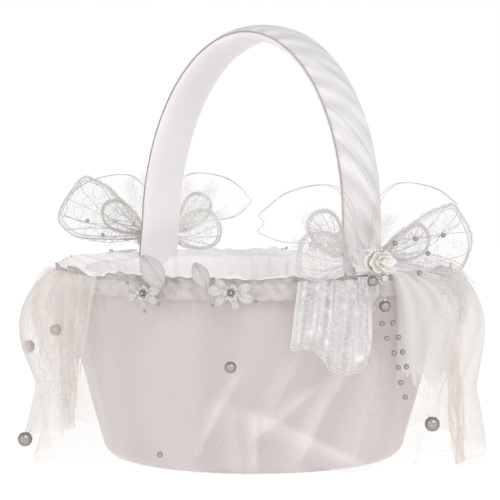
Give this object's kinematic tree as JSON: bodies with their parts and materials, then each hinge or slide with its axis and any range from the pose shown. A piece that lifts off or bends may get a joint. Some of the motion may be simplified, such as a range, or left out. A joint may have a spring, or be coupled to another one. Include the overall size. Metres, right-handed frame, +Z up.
{
  "type": "flower girl basket",
  "caption": "Round satin basket with an arched handle, a sheer overskirt, and bows with brooches, bead drops and ribbon tails at the handle's feet.",
  "frame": {"origin": "centre of the flat underside", "axes": "+Z up; the handle arches in the XZ plane, with its near foot at +X and its far foot at -X; the band's width is along Y"},
  "size_m": [0.249, 0.2487, 0.235],
  "materials": {
    "white_satin": "smooth satin, soft sheen",
    "tulle": "sheer fine net",
    "organza": "sheer, crisp",
    "lace": "open corded lace",
    "marabou": "fluffy feather",
    "foam_padding": "soft foam",
    "fibre_board": "grey-brown fibre board",
    "galvanised_steel": "galvanised",
    "silver_setting": "polished",
    "faux_pearl": "pearlescent"
  },
  "bodies": {
    "basket": {"base_board": "fibre_board", "wall_core": "fibre_board", "outer_satin_cover": "white_satin", "bottom_satin_panel": "white_satin", "wall_padding": "foam_padding", "floor_pad": "foam_padding", "inner_satin_lining": "white_satin", "rim_wire": "galvanised_steel", "rim_frill": "white_satin", "tulle_overskirt": "tulle", "handle_core": "galvanised_steel", "handle_satin_wrap": "white_satin", "near_lower_rivet": "galvanised_steel", "near_upper_rivet": "galvanised_steel", "far_lower_rivet": "galvanised_steel", "far_upper_rivet": "galvanised_steel", "skirt_pearl_front": "faux_pearl", "skirt_pearl_front_low": "faux_pearl", "skirt_pearl_left": "faux_pearl", "skirt_pearl_left_low": "faux_pearl", "skirt_pearl_right_low": "faux_pearl", "skirt_pearl_back": "faux_pearl", "skirt_pearl_back_right": "faux_pearl", "near_organza_loop_left": "organza", "near_organza_loop_right": "organza", "near_lace_loop_left": "lace", "near_lace_loop_right": "lace", "near_bow_knot": "organza", "near_feather_fan": "marabou", "near_brooch_setting": "silver_setting", "near_brooch_stone": "faux_pearl", "near_rim_leaf_tall": "organza", "near_rim_leaf_low": "organza", "near_rim_blossom_left": "white_satin", "near_rim_blossom_right": "white_satin", "far_organza_loop_left": "organza", "far_organza_loop_right": "organza", "far_lace_loop_left": "lace", "far_lace_loop_right": "lace", "far_bow_knot": "organza", "far_feather_fan": "marabou", "far_brooch_setting": "silver_setting", "far_brooch_stone": "faux_pearl", "far_rim_leaf_tall": "organza", "far_rim_leaf_low": "organza", "far_rim_blossom_left": "white_satin", "far_rim_blossom_right": "white_satin"},
    "near_pearl_drop": {"near_drop_pearl": "faux_pearl"},
    "near_long_strand": {"near_pearl_strand_long": "faux_pearl"},
    "near_short_strand": {"near_pearl_strand_short": "faux_pearl"},
    "near_lace_end": {"near_lace_tail": "lace"},
    "near_flounce": {"near_tulle_flounce": "tulle", "near_folded_tail": "organza"},
    "far_pearl_drop": {"far_drop_pearl": "faux_pearl"},
    "far_long_strand": {"far_pearl_strand_long": "faux_pearl"},
    "far_short_strand": {"far_pearl_strand_short": "faux_pearl"},
    "far_lace_end": {"far_lace_tail": "lace"},
    "far_flounce": {"far_tulle_flounce": "tulle", "far_folded_tail": "organza", "far_flounce_pearl": "faux_pearl"}
  },
  "joints": [
    {"name": "near_drop_swing", "type": "hinge", "parent": "basket", "child": "near_pearl_drop", "pos_m": [0.117, -0.0021, 0.103], "axis": [1, 0, 0], "range_deg": [-8, 8]},
    {"name": "near_long_strand_lift", "type": "hinge", "parent": "near_pearl_drop", "child": "near_long_strand", "pos_m": [0.117, -0.0054, 0.0864], "axis": [0, -1, 0], "range_deg": [0, 35]},
    {"name": "near_short_strand_lift", "type": "hinge", "parent": "near_pearl_drop", "child": "near_short_strand", "pos_m": [0.117, 0.0012, 0.0864], "axis": [0, -1, 0], "range_deg": [0, 35]},
    {"name": "near_lace_lift", "type": "hinge", "parent": "basket", "child": "near_lace_end", "pos_m": [0.1105, -0.02961, 0.1015], "axis": [-0.2588, -0.9659, 0], "range_deg": [0, 40]},
    {"name": "near_flounce_lift", "type": "hinge", "parent": "basket", "child": "near_flounce", "pos_m": [0.09806, 0.05892, 0.1015], "axis": [0.515, -0.8572, 0], "range_deg": [0, 30]},
    {"name": "far_drop_swing", "type": "hinge", "parent": "basket", "child": "far_pearl_drop", "pos_m": [-0.117, 0.0021, 0.103], "axis": [-1, 0, 0], "range_deg": [-8, 8]},
    {"name": "far_long_strand_lift", "type": "hinge", "parent": "far_pearl_drop", "child": "far_long_strand", "pos_m": [-0.117, 0.0054, 0.0864], "axis": [0, 1, 0], "range_deg": [0, 35]},
    {"name": "far_short_strand_lift", "type": "hinge", "parent": "far_pearl_drop", "child": "far_short_strand", "pos_m": [-0.117, -0.0012, 0.0864], "axis": [0, 1, 0], "range_deg": [0, 35]},
    {"name": "far_lace_lift", "type": "hinge", "parent": "basket", "child": "far_lace_end", "pos_m": [-0.1105, 0.02961, 0.1015], "axis": [0.2588, 0.9659, 0], "range_deg": [0, 40]},
    {"name": "far_flounce_lift", "type": "hinge", "parent": "basket", "child": "far_flounce", "pos_m": [-0.09806, -0.05892, 0.1015], "axis": [-0.515, 0.8572, 0], "range_deg": [0, 30]}
  ]
}
